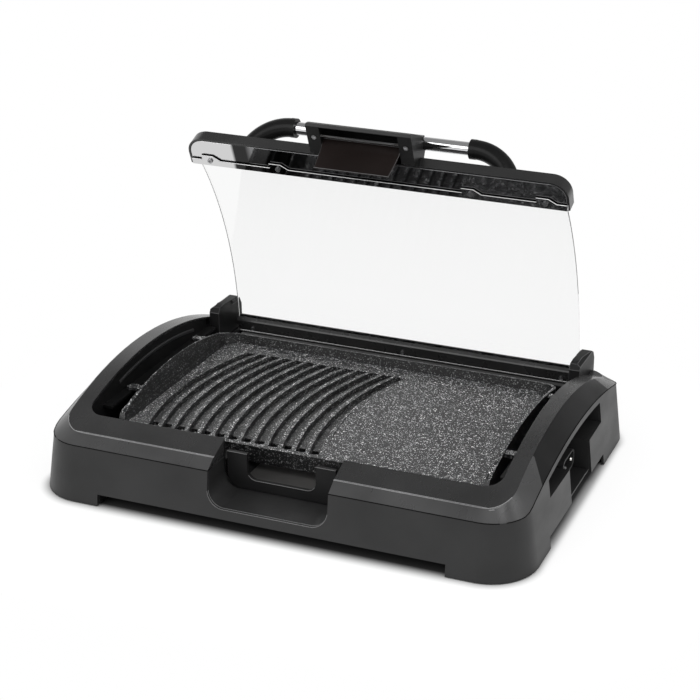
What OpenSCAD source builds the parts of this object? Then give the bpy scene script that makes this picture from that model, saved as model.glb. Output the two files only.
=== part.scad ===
// Electric indoor grill with a curved glass lid on a rear hinge.
// Units are millimetres. The origin is the middle of the base footprint on the
// table. The front faces -Y and +Z is up. The lid is drawn open.

/* [Base] */
// Width of the base on the table
base_width = 600; // [560:5:640]
// Front edge of the base, measured from the middle
base_front = 214; // [200:1:230]
// Rear edge of the base, measured from the middle
base_rear = 214; // [205:1:230]
// Radius of the two front corners at the table
front_corner = 56; // [40:1:70]
// Radius of the two rear corners at the table
rear_corner = 40; // [25:1:55]
// Height of the split line between lower shell and deck
split_height = 68; // [60:1:76]
// Height of the deck at the front
deck_height = 78; // [74:1:90]
// Height of the arched side rails at their middle
arch_height = 117.5; // [105:0.5:125]
// Height of the split line under the middle of each arch
arch_split = 95.5; // [90:0.5:104]
// Position of the top of the deck arch along Y
arch_middle = 0; // [-10:1:20]
// Position of the top of the split line arch along Y
split_middle = 15; // [0:1:25]
// Half length of each arch along Y
arch_half = 187; // [170:1:195]
// Wall thickness of the moulded shells
wall = 3; // [2:0.5:4]
// Clearance under the skirt between the feet
skirt_height = 15; // [10:1:20]

/* [Deck opening] */
// Half width of the opening between the side rails
open_half = 253; // [248:1:256]
// Front edge of the opening, measured from the middle
open_front = 160; // [150:1:166]
// Half width of the notch for the drip tray grip
notch_half = 73; // [70:1:80]
// Lowest point of the notch at the front face
notch_floor = 26; // [22:1:32]

/* [Grill plate] */
// Half width of the grill plate
plate_half = 230; // [222:1:231]
// Front edge of the grill plate, measured from the middle
plate_front = 126; // [118:1:130]
// Rear edge of the grill plate, measured from the middle
plate_rear = 149; // [140:1:152]
// Height of the cooking surface
plate_top = 66; // [64:0.5:68]
// Height of the plate sides at the middle of their arch
plate_arch = 95.5; // [90:0.5:98]
// Height of the rear wall of the plate
plate_back = 79; // [76:0.5:84]
// Number of curved grooves between the ribs
groove_count = 13; // [8:1:14]
// Distance between two grooves
groove_pitch = 17.2; // [14:0.1:18]
// Width of one groove
groove_width = 8; // [6:0.2:10]
// Depth of one groove
groove_depth = 4.6; // [2:0.2:5]
// Radius of the curved grooves
groove_radius = 355; // [250:5:500]

/* [Lid] */
// Angle between the closed chord and the chord of the open lid
lid_open = 68.3; // [40:0.1:90]
// Height of the hinge axis
hinge_height = 68; // [64:1:72]
// Position of the hinge axis behind the middle
hinge_y = 202; // [198:1:204]
// Half width of the glass
glass_half = 236.6; // [230:0.2:237.4]
// Thickness of the glass
glass_thick = 4; // [3:0.5:5]
// Radius of the glass curve
glass_radius = 450; // [400:5:520]
// Rise of the glass above its chord
glass_rise = 25; // [20:0.5:28]
// Half width of the front trim
trim_half = 243.5; // [241:0.5:246]
// Distance from the hinge to the rear edge of the trim
trim_rear = 268; // [260:1:275]
// Distance from the hinge to the front edge of the trim
trim_front = 306; // [300:1:312]
// Thickness of the front trim
trim_thick = 18; // [14:1:20]

/* [Handle] */
// Diameter of the steel handle tube
tube_diameter = 16; // [12:0.5:18]
// Distance from the hinge to the handle tube
tube_u = 305; // [298:1:312]
// Height of the handle tube above the lid chord
tube_n = 44; // [38:1:50]
// Half length of the bare tube between the two horns
tube_half = 112; // [100:1:125]
// Radius of each horn
horn_radius = 11.6; // [10:0.1:15]
// Half width of the central grip box at its mouth
box_half = 66; // [60:1:70]
// Half width of the mouth of the grip box
mouth_half = 49; // [40:1:52]

/* [Drip tray] */
// Half width of the drip tray
tray_half = 64; // [56:1:66]
// Position of the tray front panel, in front of the middle
tray_front = 168.5; // [164:0.5:172]
// Length of the drip tray behind its front panel
tray_length = 77; // [60:1:78]

/* [Hidden] */
round_fn = 72;
corner_steps = 9;
side_steps = 18;
base_half = base_width / 2;
draft = 10;
deck_inset = 27;
deck_front_inset = 24;
split_gap = 0.15;
hinge_bore = 8.16;
groove_start = -203;
groove_middle = -20;
hinge_pin = 8;
screw_spots = [[-150, -170], [150, -170], [-272, -150], [272, -150], [-272, 165], [272, 165]];
foot_spots = [[-258, -172], [258, -172], [-240, 185], [240, 185]];
lug_spots = [[-235, -70], [235, -70], [-235, 92], [235, 92]];
lid_screws = [-215, -123.5, 123.5, 215];
rail_screws = [-215, 0, 215];

// Height of the deck surface and of the split line at a given Y.
function arch(y, mid, top, low) = max(low, top - (top - low) * pow((y - mid) / arch_half, 2));
function deck_z(y) = arch(y, arch_middle, arch_height, deck_height);
function split_z(y) = arch(y, split_middle, arch_split, split_height);

// Right half of a rounded outline, running from the front to the rear.
function half_outline(hw, yf, yr, rf, rr) = concat(
  [for (i = [0 : corner_steps]) let (a = 90 * i / corner_steps)
    [hw - rf + rf * sin(a), -yf + rf - rf * cos(a)]],
  [for (i = [1 : side_steps]) [hw, -yf + rf + (yf + yr - rf - rr) * i / (side_steps + 1)]],
  [for (i = [0 : corner_steps]) let (a = 90 * i / corner_steps)
    [hw - rr + rr * cos(a), yr - rr + rr * sin(a)]]
);
function zval(y, kind, v) = kind == 0 ? v : (kind == 1 ? deck_z(y) + v : split_z(y) + v);
// One full ring of points; kind 0 is flat, 1 follows the deck, 2 the split line.
function ring(hw, yf, yr, rf, rr, kind, v) =
  let (h = half_outline(hw, yf, yr, rf, rr), k = len(h))
  concat(
    [for (p = h) [p[0], p[1], zval(p[1], kind, v)]],
    [for (i = [k - 1 : -1 : 0]) [-h[i][0], h[i][1], zval(h[i][1], kind, v)]]
  );

// Solid between stacked rings, capped by strips across the width.
module loft(rings) {
  n = len(rings[0]);
  m = len(rings);
  k = n / 2;
  pts = [for (r = rings) for (p = r) p];
  low = [for (i = [0 : k - 2]) [i, n - 1 - i, n - 2 - i, i + 1]];
  base = (m - 1) * n;
  high = [for (i = [0 : k - 2]) [base + i, base + i + 1, base + n - 2 - i, base + n - 1 - i]];
  sides = [for (j = [0 : m - 2]) for (i = [0 : n - 1]) for (t = [0, 1])
    let (a = j * n + i, b = j * n + (i + 1) % n)
    t == 0 ? [a, b, b + n] : [a, b + n, a + n]];
  turned = [for (f = concat(low, high, sides)) [for (q = [len(f) - 1 : -1 : 0]) f[q]]];
  polyhedron(points = pts, faces = turned, convexity = 6);
}

module box3(x0, x1, y0, y1, z0, z1) {
  translate([x0, y0, z0]) cube([x1 - x0, y1 - y0, z1 - z0]);
}

module rrect(w, d, r) {
  square([w - 2 * r, d], center = true);
  square([w, d - 2 * r], center = true);
  for (sx = [-1, 1]) for (sy = [-1, 1])
    translate([sx * (w / 2 - r), sy * (d / 2 - r)]) circle(r = r, $fn = 48);
}

// Profile given as (Y, Z) points, extruded along X.
module profile_x(pts, x0, x1) {
  translate([x0, 0, 0]) rotate([90, 0, 90]) linear_extrude(height = x1 - x0) polygon(pts);
}

// Round bar along X.
module bar_x(d, x0, x1, y, z, fn = 48) {
  translate([x0, y, z]) rotate([0, 90, 0]) cylinder(d = d, h = x1 - x0, $fn = fn);
}

// Pan head screw with its head underside at the origin and its shank along +Z.
module screw(head, thick, shank, length) {
  difference() {
    union() {
      translate([0, 0, -thick]) cylinder(d = head, h = thick, $fn = 32);
      cylinder(d = shank, h = length, $fn = 24);
    }
    for (a = [0, 90]) rotate([0, 0, a])
      translate([-head * 0.3, -0.45, -thick - 1]) cube([head * 0.6, 0.9, 1 + thick * 0.55]);
  }
}

// ---------------------------------------------------------------- base

module shell_outer() {
  loft([
    ring(base_half, base_front, base_rear, front_corner, rear_corner, 0, 1.2),
    rim_ring(0, -split_gap)
  ]);
}

// Ring at the split line; inset is the wall left outside it.
function rim_ring(inset, v) = ring(base_half - draft - inset, base_front - draft - inset,
  base_rear - 3 - inset, front_corner - draft - inset, rear_corner - 8 - inset, 2, v);

// Inner surface of the shell walls; g moves it further inwards.
module shell_inner(g) {
  loft([
    ring(base_half - wall - g, base_front - wall - g, base_rear - wall - g,
      front_corner - wall, rear_corner - wall, 0, 0),
    rim_ring(wall + g, 6)
  ]);
}

// Plan inside the shell walls just above the feet.
module cover_plan() {
  hw = base_half - wall - 3.2;
  yf = base_front - wall - 3.2;
  yr = base_rear - wall - 1.6;
  rf = front_corner - wall;
  rr = rear_corner - wall;
  translate([-hw, -yf + rf]) square([2 * hw, yf + yr - rf - rr]);
  translate([-hw + rf, -yf]) square([2 * hw - 2 * rf, yf]);
  translate([-hw + rr, 0]) square([2 * hw - 2 * rr, yr]);
  for (s = [-1, 1]) translate([s * (hw - rf), -yf + rf]) circle(r = rf, $fn = 96);
  for (s = [-1, 1]) translate([s * (hw - rr), yr - rr]) circle(r = rr, $fn = 96);
}

// Front notch: rounded lower corners, floor rising towards the tray.
module notch_space(grow) {
  r = 20;
  hull() {
    for (s = [-1, 1]) {
      translate([s * (notch_half - r), -tray_front + 5.6, 33.6 + r])
        rotate([90, 0, 0]) cylinder(r = r + grow, h = 0.1, $fn = 48);
      translate([s * (notch_half - r), -224, notch_floor - 1.5 + r])
        rotate([90, 0, 0]) cylinder(r = r + grow, h = 0.1, $fn = 48);
      translate([s > 0 ? notch_half + grow - 1 : -notch_half - grow, -224.1, 90])
        cube([1, 229.6 - tray_front, 1]);
    }
  }
}

// Opening in the side skirt: a wide grip slot over a narrow stem.
module side_opening(stem) {
  box3(254, 320, -102, 104, 57, 66);
  difference() {
    box3(254, 320, -102, 104, 57, 130);
    profile_x(concat([for (i = [0 : 24]) let (y = -104 + 210 * i / 24) [y, split_z(y) - 7]],
      [[107, 140], [-105, 140]]), 250, 325);
  }
  if (stem) box3(260, 320, -30, 52, 10, 60);
}

// Moulded pocket behind a side opening.
module side_pocket(stem) {
  difference() {
    intersection() {
      union() {
        box3(256.2, 300, -105, 107, 54, 120);
        if (stem) box3(256.2, 300, -33, 55, skirt_height + 3.2, 57);
      }
      shell_inner(0.15);
      shell_outer();
    }
    difference() {
      box3(259, 310, -102, 104, 57, 130);
      // upright ribs on the back wall
      for (y = [-72, -48, 72, 88]) box3(258, 260.4, y - 0.8, y + 0.8, 56, 84);
    }
    if (stem) box3(259, 310, -30, 52, 0, 60);
  }
}

module lower_shell() {
  color([0.09, 0.09, 0.09])
  difference() {
    shell_outer();
    shell_inner(0);
    // raised skirt between the four corner feet
    box3(-212, 212, -400, 400, -5, skirt_height);
    box3(-400, 400, -114, 104, -5, skirt_height);
    notch_space(0);
    side_opening(true);
    mirror([1, 0, 0]) side_opening(false);
    // room for the lid rail at the rear
    box3(-open_half - 0.4, open_half + 0.4, 180, 230, 52, 120);
  }
}

// Recess for the drip tray, set behind the front notch.
module tray_recess() {
  color([0.09, 0.09, 0.09])
  difference() {
    intersection() {
      difference() {
        box3(-notch_half - 2.5, notch_half + 2.5, -212, -tray_front + 5.2,
          skirt_height + 3.4, split_height - 0.3);
        // hollow underside
        box3(-44, 44, -206, -tray_front + 5.4, skirt_height, 21.4);
      }
      shell_inner(0.15);
    }
    notch_space(0);
  }
}

module bottom_cover() {
  color([0.08, 0.08, 0.08])
  difference() {
    union() {
      translate([0, 0, skirt_height + 0.4]) linear_extrude(height = 2.6) cover_plan();
      // screw bosses
      for (p = screw_spots) translate([p[0], p[1], skirt_height + 0.4]) cylinder(d = 10, h = 39.4, $fn = 32);
      // tray guide rails and reflector posts
      for (s = [-1, 1]) box3(s * 46 - 3, s * 46 + 3, -150, -90, skirt_height + 2, 33.9);
      for (x = [-150, 150]) for (y = [-50, 120])
        translate([x, y, skirt_height + 1]) cylinder(d = 12, h = 21.5, $fn = 32);
      // rear stiffening wall and the shelf under the lid rail
      box3(-236, 236, 174, 176.6, skirt_height + 1, 51);
      box3(-236, 236, 174, 208.6, 48.6, 51);
    }
    for (p = screw_spots) translate([p[0], p[1], -1]) cylinder(d = 3.8, h = 80, $fn = 24);
    // cooling slots
    for (x = [-180 : 40 : 180]) box3(x - 10, x + 10, 20, 26, 10, 20);
    for (x = [-180 : 40 : 180]) box3(x - 10, x + 10, 60, 66, 10, 20);
  }
}

module corner_feet() {
  color([0.08, 0.08, 0.08])
  difference() {
    translate([0, 0, 1.4]) linear_extrude(height = skirt_height - 1.3) intersection() {
      cover_plan();
      for (sx = [-1, 1]) {
        translate([sx > 0 ? 212.2 : -400, -400]) square([187.8, 285.8]);
        translate([sx > 0 ? 212.2 : -400, 104.2]) square([187.8, 285.8]);
      }
    }
    // hollow from above
    for (sx = [-1, 1]) for (f = [[-190, -117], [107, 190]]) for (q = [[215, 243], [246, 274]])
      box3(sx > 0 ? q[0] : -q[1], sx > 0 ? q[1] : -q[0], f[0], f[1], 5.4, skirt_height + 4);
    for (p = foot_spots) translate([p[0], p[1], 0]) cylinder(d = 22.4, h = 3.2, $fn = 48);
    for (p = screw_spots) translate([p[0], p[1], -1]) cylinder(d = 9.4, h = 40, $fn = 32);
  }
}

module grip_pocket() {
  color([0.08, 0.08, 0.08]) mirror([1, 0, 0]) side_pocket(false);
}

module inlet_pocket() {
  color([0.08, 0.08, 0.08]) difference() {
    side_pocket(true);
    // passages for the terminal pins and the probe guide
    for (y = [-1, 23]) bar_x(5.8, 250, 262, y, 43, 32);
    bar_x(9.6, 250, 262, 11, 43, 32);
  }
}

module rubber_feet() {
  color([0.05, 0.05, 0.05])
  for (p = foot_spots) translate([p[0], p[1], 0]) difference() {
    union() {
      cylinder(d = 20, h = 1.2, $fn = 48);
      translate([0, 0, 1.1]) cylinder(d = 22, h = 1.9, $fn = 48);
    }
    translate([0, 0, -1]) cylinder(d = 10, h = 1.6, $fn = 32);
  }
}

module base_screws() {
  color([0.6, 0.6, 0.62])
  for (p = screw_spots) translate([p[0], p[1], skirt_height + 0.3]) screw(7.4, 2.4, 3.2, 51);
}

// ---------------------------------------------------------------- deck

// Ring along the crease of the deck surface.
function deck_ring(inset, rf, rr, v) = ring(base_half - deck_inset - inset,
  base_front - deck_front_inset - inset, base_rear - 9 - inset, rf, rr, 1, v);

module deck_outer() {
  loft([
    rim_ring(0, split_gap),
    deck_ring(-0.9, 34, 26, -1.3),
    deck_ring(0.9, 32, 24, 0)
  ]);
}

module deck_inner() {
  loft([
    rim_ring(wall, -6),
    deck_ring(wall, 30, 22, -wall)
  ]);
}

// Plan of the opening between the rails, open at the rear.
module opening_plan(grow) {
  r = 20 + grow;
  hw = open_half + grow;
  yf = open_front + grow;
  translate([-hw, -yf + r]) square([2 * hw, 400]);
  translate([-hw + r, -yf]) square([2 * hw - 2 * r, 100]);
  for (s = [-1, 1]) translate([s * (hw - r), -yf + r]) circle(r = r, $fn = 64);
}

module notch_plan(grow) {
  translate([-notch_half - grow, -400]) square([2 * notch_half + 2 * grow, 300]);
}

module deck_frame() {
  color([0.1, 0.1, 0.1])
  difference() {
    union() {
      difference() {
        deck_outer();
        deck_inner();
        translate([0, 0, 60]) linear_extrude(height = 100) opening_plan(0);
      }
      intersection() {
        deck_outer_tall(0.6);
        union() {
          // cheeks of the notch
          translate([0, 0, split_height + split_gap]) linear_extrude(height = 60) difference() {
            intersection() {
              notch_plan(wall);
              translate([-200, -204]) square([400, 40.6]);
            }
            notch_plan(0);
          }
          // screw bosses
          for (p = screw_spots) translate([p[0], p[1], 55.6]) cylinder(d = 9, h = 80, $fn = 32);
        }
      }
    }
    // notch at the front and room for the lid at the rear
    translate([0, 0, 40]) linear_extrude(height = 120) notch_front_plan();
    box3(-open_half, open_half, 139, 400, 59.9, 160);
    for (p = screw_spots) translate([p[0], p[1], 50]) cylinder(d = 3.4, h = 18, $fn = 24);
  }
}

// Inner frame under the edge of the deck: skirt, ledges, trough and shelves.
module deck_liner() {
  color([0.08, 0.08, 0.08])
  difference() {
    union() {
      // skirt round the opening
      intersection() {
        deck_outer_tall(wall + 0.2);
        translate([0, 0, 46]) linear_extrude(height = 90) difference() {
          opening_plan(wall);
          opening_plan(0);
          translate([-400, 205]) square([800, 300]);
        }
      }
      // ledge on the inner side of each rail that carries the plate lugs
      for (s = [-1, 1])
        box3(s > 0 ? 241 : -open_half - 1, s > 0 ? open_half + 1 : -241, -122, 142, 78.6, 82);
      // trough floor in front of the plate, beside the tray
      for (s = [-1, 1]) box3(s > 0 ? notch_half + 4 : -238, s > 0 ? 238 : -notch_half - 4,
        -open_front - 1, -129.6, 55.6, 58);
      // shelf under each hinge post and the rear cross wall
      for (s = [-1, 1])
        box3(s > 0 ? 237.6 : -open_half - 1, s > 0 ? open_half + 1 : -237.6, 146, 205, 53, 59.8);
      box3(-open_half - 1, open_half + 1, 177.2, 179.8, 51.4, 59.8);
    }
    // notch at the front and room for the lid at the rear
    translate([0, 0, 40]) linear_extrude(height = 120) notch_front_plan();
    box3(-open_half, open_half, 147, 400, 59.9, 160);
    box3(-260, 260, 139, 147.1, 82.1, 160);
    box3(-260, 260, 183, 400, 66, 160);
    box3(-237.5, 237.5, 180, 400, 20, 160);
    // window for the probe guide
    for (s = [-1, 1]) box3(s > 0 ? 250 : -260, s > 0 ? 260 : -250, -2, 24, 40, 51);
  }
}

// Deck body carried down below the split line; drop is its depth under the crease.
module deck_outer_tall(drop) {
  loft([
    deck_ring(0.9, 32, 24, -79),
    deck_ring(0.9, 32, 24, -drop)
  ]);
}

module notch_front_plan() {
  translate([-notch_half, -400]) square([2 * notch_half, 400 - open_front + 0.5]);
}

module post_profile() {
  polygon([
    [147, 60.2], [147, 99], [151, 106], [162, 107.5], [203, 104],
    [209, 100.5], [214, 91], [214, 66], [211, 60.2]
  ]);
}

module hinge_post() {
  difference() {
    union() {
      translate([238.6, 0, 0]) rotate([90, 0, 90]) linear_extrude(height = 13.8) post_profile();
      // raised cap lip over the lid edge
      translate([236.9, 0, 0]) rotate([90, 0, 90]) linear_extrude(height = 3)
        polygon([[184, 99.4], [184, 104.2], [203, 102.6], [203, 98]]);
    }
    bar_x(hinge_bore, 230, 250.4, hinge_y, hinge_height);
    // bevelled upper edges
    translate([252.4, 180, 108]) rotate([0, 35, 0]) cube([6, 120, 8], center = true);
  }
}

module hinge_post_left() {
  color([0.1, 0.1, 0.1]) mirror([1, 0, 0]) hinge_post();
}

module hinge_post_right() {
  color([0.1, 0.1, 0.1]) hinge_post();
}

// ---------------------------------------------------------------- heating parts

module heat_reflector() {
  color([0.72, 0.72, 0.73])
  difference() {
    union() {
      translate([0, 35, 37.8]) linear_extrude(height = 12) rrect(436, 226, 14);
      translate([0, 35, 49]) linear_extrude(height = 0.8) rrect(450, 240, 18);
    }
    translate([0, 35, 38.6]) linear_extrude(height = 20) rrect(434.4, 224.4, 13.2);
    box3(200, 230, -8, 30, 43, 60);
    for (x = [-150, 150]) for (y = [-50, 120]) translate([x, y, 30]) cylinder(d = 4, h = 20, $fn = 24);
  }
}

module drip_channel() {
  color([0.7, 0.7, 0.71]) {
    translate([-206, -112, 54.4]) rotate([0, 2, 0]) difference() {
      translate([0, -8.7, -2]) cube([150, 17.4, 4.6]);
      translate([1, -7.7, -1]) cube([160, 15.4, 10]);
    }
    box3(-196, -192, -116, -108, 18.1, 52.3);
    box3(-98, -94, -116, -108, 18.1, 48.8);
  }
}

// Straight run of the sheathed element.
module run_x(x0, x1, y) {
  bar_x(7, x0, x1, y, 53.4, 40);
}

module bend(x, y, r, a0, sweep) {
  translate([x, y, 53.4]) rotate([0, 0, a0])
    rotate_extrude(angle = sweep, $fn = 64) translate([r, 0]) circle(d = 7, $fn = 40);
}

module heating_element() {
  color([0.25, 0.25, 0.26]) {
    run_x(-170, 176, -62);
    run_x(-170, 170, -10);
    run_x(-170, 170, 42);
    run_x(-170, 176, 94);
    bend(-170, -36, 26, 90, 180);
    bend(170, 16, 26, -90, 180);
    bend(-170, 68, 26, 90, 180);
    // cold ends turn towards the inlet
    bend(176, -42, 20, -90, 90);
    translate([196, -42, 53.4]) rotate([-90, 0, 0]) cylinder(d = 7, h = 21, $fn = 40);
    bend(216, -21, 20, 90, 90);
    run_x(216, 240, -1);
    bend(176, 74, 20, 0, 90);
    translate([196, 43, 53.4]) rotate([-90, 0, 0]) cylinder(d = 7, h = 31, $fn = 40);
    bend(216, 43, 20, 180, 90);
    run_x(216, 240, 23);
  }
}

module element_clips() {
  color([0.7, 0.7, 0.72])
  for (x = [-100, 100]) difference() {
    union() {
      box3(x - 5, x + 5, -72, 108, 38.8, 40);
      for (y = [-62, -10, 42, 94]) box3(x - 5, x + 5, y - 5.2, y + 5.2, 39, 53.4);
    }
    for (y = [-62, -10, 42, 94]) bar_x(7.2, x - 8, x + 8, y, 53.4, 40);
    for (y = [-62, -10, 42, 94]) box3(x - 6, x + 6, y - 3.4, y + 3.4, 40.2, 48.6);
  }
}

module inlet_shroud() {
  color([0.07, 0.07, 0.07])
  difference() {
    union() {
      translate([259.2, 11, 43]) rotate([90, 0, 90]) linear_extrude(height = 3) rrect(66, 25, 5);
      translate([259.2, 11, 43]) rotate([90, 0, 90]) linear_extrude(height = 22) rrect(46, 23, 9);
    }
    translate([264.2, 11, 43]) rotate([90, 0, 90]) linear_extrude(height = 30) rrect(41, 18, 7);
    for (y = [-1, 23]) bar_x(4.5, 250, 270, y, 43, 32);
    bar_x(9.1, 250, 270, 11, 43, 32);
  }
}

module terminal_pins() {
  color([0.85, 0.85, 0.86])
  for (y = [-1, 23]) {
    bar_x(4.4, 240.4, 264.6, y, 43, 32);
    bar_x(5, 264.4, 280, y, 43, 32);
    translate([280, y, 43]) rotate([0, 90, 0]) cylinder(d1 = 5, d2 = 3, h = 1.6, $fn = 32);
    translate([241.6, y, 43]) cylinder(d = 2.4, h = 7.4, $fn = 20);
  }
}

module probe_guide() {
  color([0.75, 0.75, 0.76])
  difference() {
    union() {
      bar_x(9, 228, 268, 11, 43, 32);
      bar_x(12, 252, 255.6, 11, 43, 32);
    }
    bar_x(7.2, 234, 270, 11, 43, 32);
  }
}

// ---------------------------------------------------------------- grill plate

module plate_side_profile(dz) {
  top = plate_arch + dz;
  low = 76.5 + dz;
  polygon(concat(
    [[-plate_front - 1, 40], [-plate_front - 1, low - 8]],
    [for (i = [0 : 28]) let (y = -plate_front + 4 + (plate_rear + plate_front - 4) * i / 28)
      [y, top - (top - low) * pow((y - 12) / 134, 2)]],
    [[plate_rear + 2, low], [plate_rear + 2, 40]]
  ));
}

// Plan of the plate: square at the front, rounded at the rear.
module plate_plan(inset, r, front) {
  hw = plate_half - inset;
  yr = plate_rear - inset;
  translate([-hw, -front]) square([2 * hw, front + yr - r]);
  translate([-hw + r, 0]) square([2 * hw - 2 * r, yr]);
  for (s = [-1, 1]) translate([s * (hw - r), yr - r]) circle(r = r, $fn = 64);
}

module grill_plate() {
  color([0.2, 0.2, 0.21])
  difference() {
    union() {
      intersection() {
        difference() {
          union() {
            translate([0, 0, 58]) linear_extrude(height = 50) plate_plan(0, 30, plate_front);
            box3(-plate_half, plate_half, -plate_front, -plate_front + 2.4, 46, 59);
          }
          translate([0, 0, plate_top]) hull() {
            linear_extrude(height = 0.1) plate_plan(9, 22, 200);
            translate([0, 0, 40]) linear_extrude(height = 0.1) plate_plan(-2, 30, 200);
          }
          difference() {
            translate([0, 0, 50]) linear_extrude(height = 12) plate_plan(4, 26, plate_front - 4);
            translate([0, 0, 50]) linear_extrude(height = 12) plate_plan(8, 24, 102);
          }
        }
        translate([-300, 0, 0]) rotate([90, 0, 90]) linear_extrude(height = 600) plate_side_profile(0);
      }
      // lugs that rest on the rail ledges
      for (p = lug_spots) translate([p[0], p[1], 84.5]) cube([24, 11, 4.2], center = true);
      for (p = lug_spots) translate([p[0] < 0 ? -243 : 243, p[1], 84.5])
        cylinder(d = 11, h = 4.2, center = true, $fn = 32);
    }
    // cooking side of the lugs stays inside the wall
    translate([0, 0, plate_top]) hull() {
      linear_extrude(height = 0.1) plate_plan(9, 22, 110);
      translate([0, 0, 40]) linear_extrude(height = 0.1) plate_plan(-2, 30, 110);
    }
    // curved grooves and their drain slots
    for (k = [0 : groove_count - 1]) {
      x0 = groove_start + groove_pitch * k;
      intersection() {
        translate([x0 + groove_radius, groove_middle, plate_top - groove_depth]) difference() {
          cylinder(r1 = groove_radius + groove_width / 2, r2 = groove_radius + groove_width / 2 + 3,
            h = 8, $fn = 360);
          translate([0, 0, -0.01]) cylinder(r1 = groove_radius - groove_width / 2,
            r2 = groove_radius - groove_width / 2 - 3, h = 8.02, $fn = 360);
        }
        box3(-300, 60, -118, 115, 50, 70);
      }
      xs = x0 + groove_radius - sqrt(pow(groove_radius, 2) - pow(groove_middle + 111, 2));
      box3(xs - 4.2, xs + 4.2, -119, -102, 50, 75);
    }
    // shallow parting groove beside the flat area
    intersection() {
      translate([14 + groove_radius, -6, plate_top - 1]) difference() {
        cylinder(r = groove_radius + 1.2, h = 20, $fn = 360);
        translate([0, 0, -1]) cylinder(r = groove_radius - 1.2, h = 30, $fn = 360);
      }
      box3(-300, 90, -104, -4, 50, 70);
    }
  }
}

module drip_tray() {
  back = -tray_front + 5;
  color([0.08, 0.08, 0.08])
  difference() {
    union() {
      // tray body
      difference() {
        translate([0, back + tray_length, 0]) rotate([90, 0, 0])
          linear_extrude(height = tray_length + 1) polygon([
            [-tray_half, 45.6], [-tray_half, 40], [-tray_half + 8, 34.3],
            [tray_half - 8, 34.3], [tray_half, 40], [tray_half, 45.6]
          ]);
        translate([0, back + tray_length - 2, 0]) rotate([90, 0, 0])
          linear_extrude(height = tray_length - 2) polygon([
            [-tray_half + 2, 60], [-tray_half + 2, 41], [-tray_half + 8.6, 36.3],
            [tray_half - 8.6, 36.3], [tray_half - 2, 41], [tray_half - 2, 60]
          ]);
      }
      // front panel with two ears
      difference() {
        translate([0, back, 0]) rotate([90, 0, 0]) linear_extrude(height = 5) union() {
          translate([0, 59.2]) rrect(133, 50, 15);
          translate([-66.5, 57]) square([133, 21]);
        }
        box3(-80, 80, -200, -100, 78, 120);
      }
    }
    // cut-out between the ears
    translate([0, back + 4, 79.6]) rotate([90, 0, 0]) linear_extrude(height = 20) rrect(84, 66, 11);
  }
}

// ---------------------------------------------------------------- lid

// The lid is built closed: u runs forward from the hinge, n points outward.
module lid_place() {
  translate([0, hinge_y, hinge_height]) rotate([-lid_open, 0, 0]) children();
}

// Profile given as (u, n) points, extruded along X.
module lid_profile(pts, x0, x1) {
  translate([x0, 0, 0]) rotate([90, 0, 90])
    linear_extrude(height = x1 - x0) polygon([for (p = pts) [-p[0], p[1]]]);
}

module lid_box(x0, x1, u0, u1, n0, n1) {
  translate([x0, -u1, n0]) cube([x1 - x0, u1 - u0, n1 - n0]);
}

module glass_cyl(r, x0, x1) {
  translate([x0, -150, glass_rise - glass_radius]) rotate([0, 90, 0]) cylinder(r = r, h = x1 - x0, $fn = 360);
}

module lid_glass() {
  color([0.85, 0.9, 0.92, 0.35])
  lid_place() intersection() {
    difference() {
      glass_cyl(glass_radius + glass_thick / 2, -glass_half, glass_half);
      glass_cyl(glass_radius - glass_thick / 2, -glass_half - 1, glass_half + 1);
    }
    lid_box(-glass_half, glass_half, 4, 284, -20, 60);
  }
}

// Plan of the trim in (x, u), rounded at the two front corners.
module trim_plan(inset, r) {
  hw = trim_half - inset;
  uf = trim_front - inset;
  intersection() {
    union() {
      translate([-hw, -uf + r]) square([2 * hw, 60]);
      translate([-hw + r, -uf]) square([2 * hw - 2 * r, 60]);
      for (s = [-1, 1]) translate([s * (hw - r), -uf + r]) circle(r = r, $fn = 64);
    }
    translate([-400, -400]) square([800, 400 - trim_rear]);
  }
}

module front_trim() {
  color([0.09, 0.09, 0.09])
  lid_place() difference() {
    union() {
      linear_extrude(height = trim_thick - 2) trim_plan(0, 22);
      translate([0, 0, trim_thick - 2.2]) linear_extrude(height = 2.2) trim_plan(1.2, 21);
    }
    // pocket for glass and inner panel, open to the rear
    translate([0, 0, -1]) linear_extrude(height = 1 + trim_thick - 2.6) intersection() {
      trim_plan(2.6, 19.4);
      translate([-400, -400]) square([800, 400 - trim_rear - 2.4]);
    }
    lid_box(-241.4, 241.4, trim_rear - 5, trim_rear + 8, -2, 13);
    // screw bosses for the horns and the box come from outside
    for (x = [-162, 162]) translate([x, -290, 10]) cylinder(d = 4.4, h = 20, $fn = 24);
  }
}

module strip_plan(grow) {
  translate([-240.4 - grow, -trim_rear - 8.4 - grow]) square([480.8 + 2 * grow, 8 + grow]);
  for (x = lid_screws) translate([x, -trim_rear]) polygon([
    [-11 - grow, -6], [-11 - grow, -14.6 - grow], [4 + 0.4 * grow, -14.6 - grow],
    [14 + 1.4 * grow, -8.2 - grow], [14 + 1.4 * grow, -6]
  ]);
}

module clamp_strip() {
  color([0.08, 0.08, 0.08])
  lid_place() difference() {
    translate([0, 0, -2]) linear_extrude(height = 4) strip_plan(0);
    for (x = lid_screws) translate([x, -trim_rear - 8, -5]) cylinder(d = 3.4, h = 12, $fn = 24);
  }
}

module inner_panel() {
  color([0.04, 0.04, 0.04])
  lid_place() translate([0, 0, 0.2]) linear_extrude(height = 1.8) difference() {
    intersection() {
      trim_plan(3, 19);
      translate([-400, -400]) square([800, 400 - trim_rear - 8.8]);
    }
    strip_plan(0.4);
  }
}

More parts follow.
